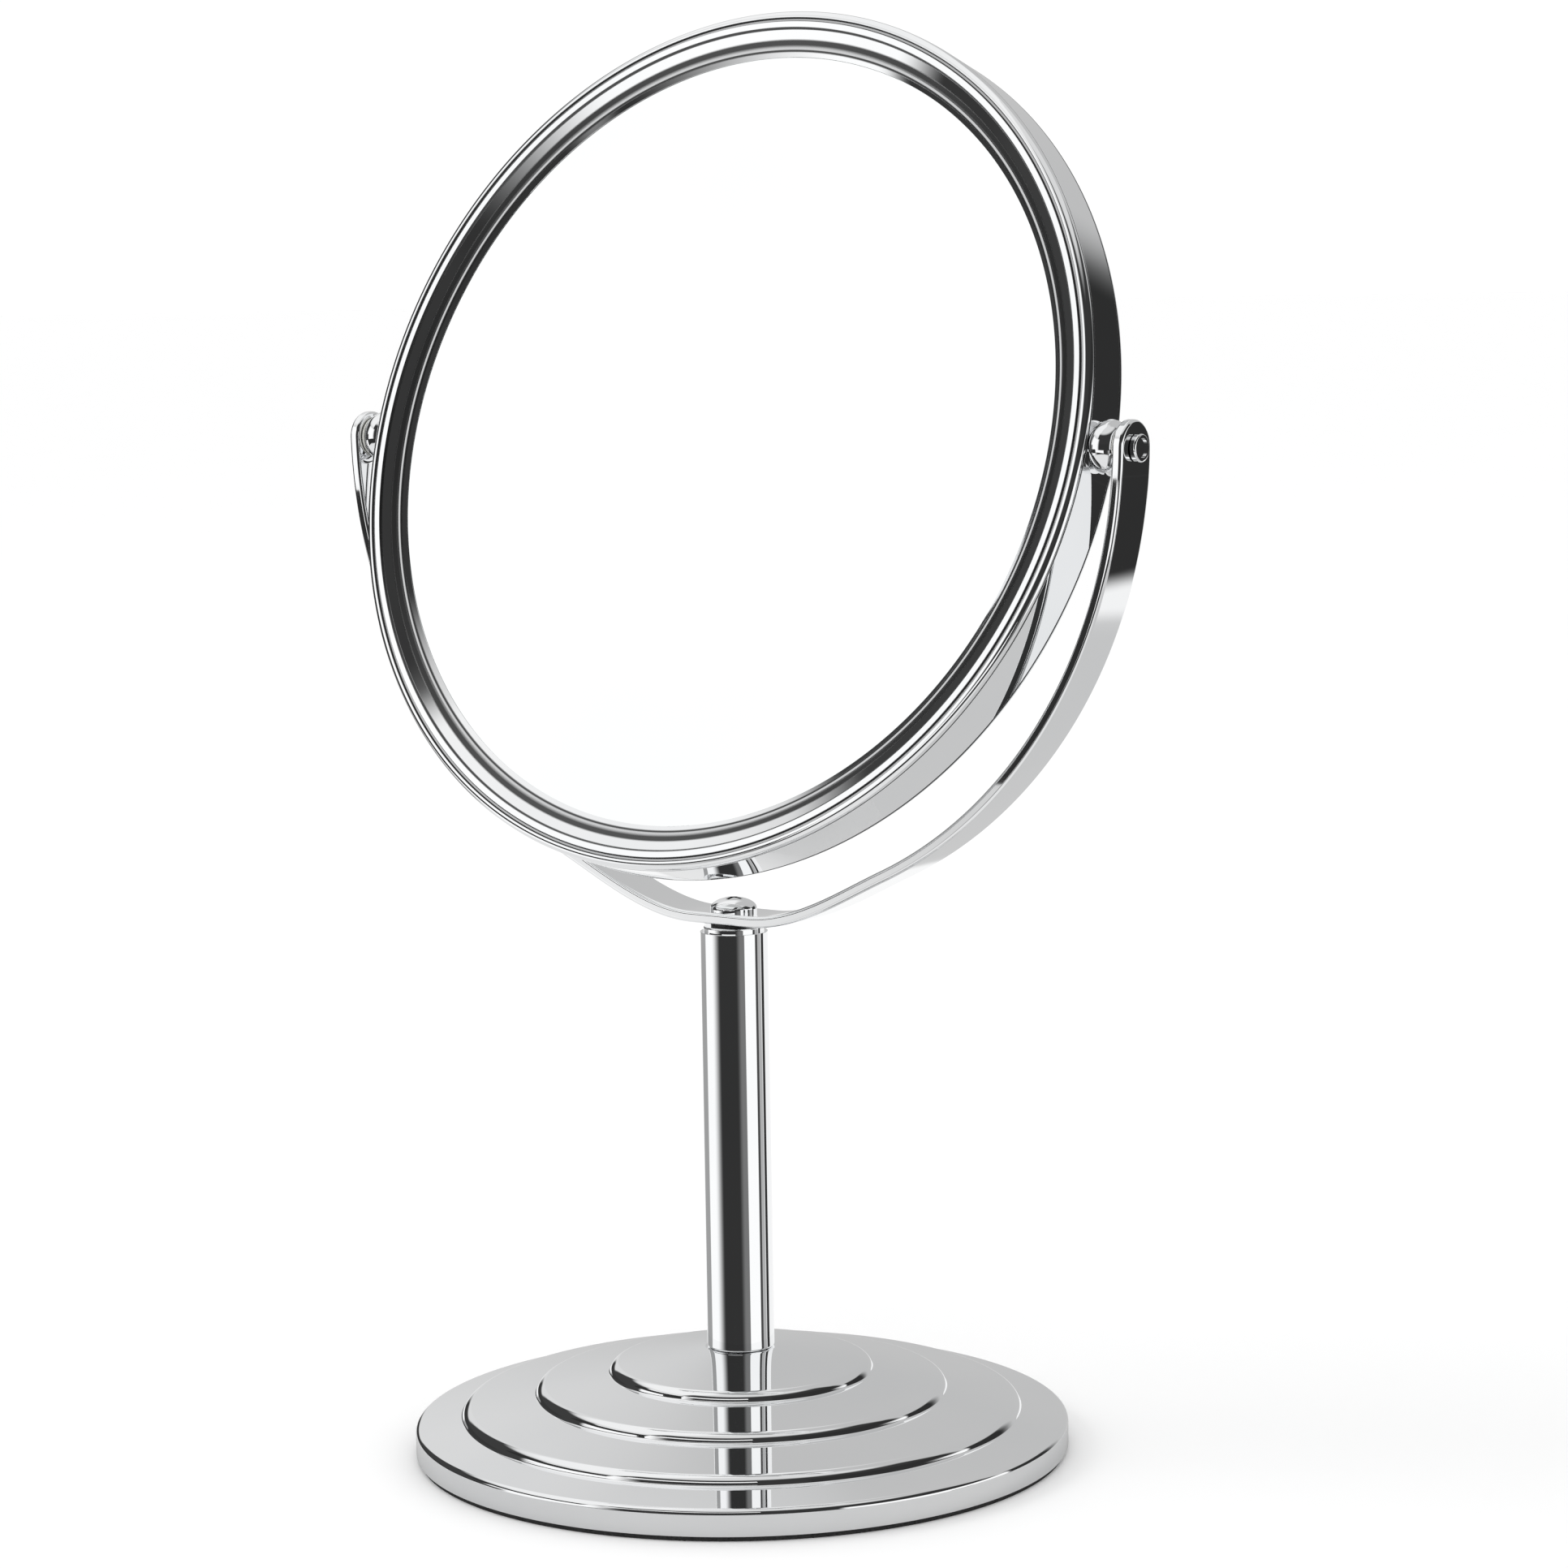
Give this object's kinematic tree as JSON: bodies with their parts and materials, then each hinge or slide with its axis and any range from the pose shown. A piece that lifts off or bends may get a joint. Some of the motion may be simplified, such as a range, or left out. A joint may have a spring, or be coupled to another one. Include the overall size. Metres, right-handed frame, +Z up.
{
  "type": "countertop mirror",
  "caption": "Round double-sided countertop mirror that turns right over in a U-shaped yoke, on a tube stem with a weighted stepped round base.",
  "frame": {"origin": "centre of the base's underside, on the counter", "axes": "+X along the pivot line to the right as one faces the mirror, +Z up, the front glass faces -Y"},
  "size_m": [0.2186, 0.15, 0.3269],
  "materials": {
    "polished_chrome": "polished",
    "silvered_glass": "polished",
    "black_foam": "matte",
    "black_plastic": "matte",
    "white_nylon": "matte",
    "zinc_steel": "satin",
    "cast_iron": "matte",
    "grey_card": "matte"
  },
  "bodies": {
    "stand": {"base_pad": "black_foam", "base_bottom_plate": "zinc_steel", "base_weight": "cast_iron", "base_shell": "polished_chrome", "base_bolt": "zinc_steel", "base_washer": "zinc_steel", "stem_foot_plug": "zinc_steel", "stem_tube": "polished_chrome", "stem_top_plug": "polished_chrome", "yoke_washer": "black_plastic", "yoke": "polished_chrome", "yoke_screw": "polished_chrome", "left_friction_washer": "white_nylon", "right_friction_washer": "white_nylon"},
    "mirror_head": {"ring_band": "polished_chrome", "front_bezel": "polished_chrome", "back_bezel": "polished_chrome", "front_glass": "silvered_glass", "front_backing": "grey_card", "back_glass": "silvered_glass", "core_ring": "black_plastic", "back_cushion_ring": "black_foam", "left_spacer": "polished_chrome", "right_spacer": "polished_chrome", "left_pivot_screw": "polished_chrome", "right_pivot_screw": "polished_chrome", "left_pivot_nut": "zinc_steel", "right_pivot_nut": "zinc_steel"}
  },
  "joints": [
    {"name": "mirror_flip", "type": "hinge", "parent": "stand", "child": "mirror_head", "pos_m": [0, 0, 0.231], "axis": [1, 0, 0], "continuous": true}
  ]
}
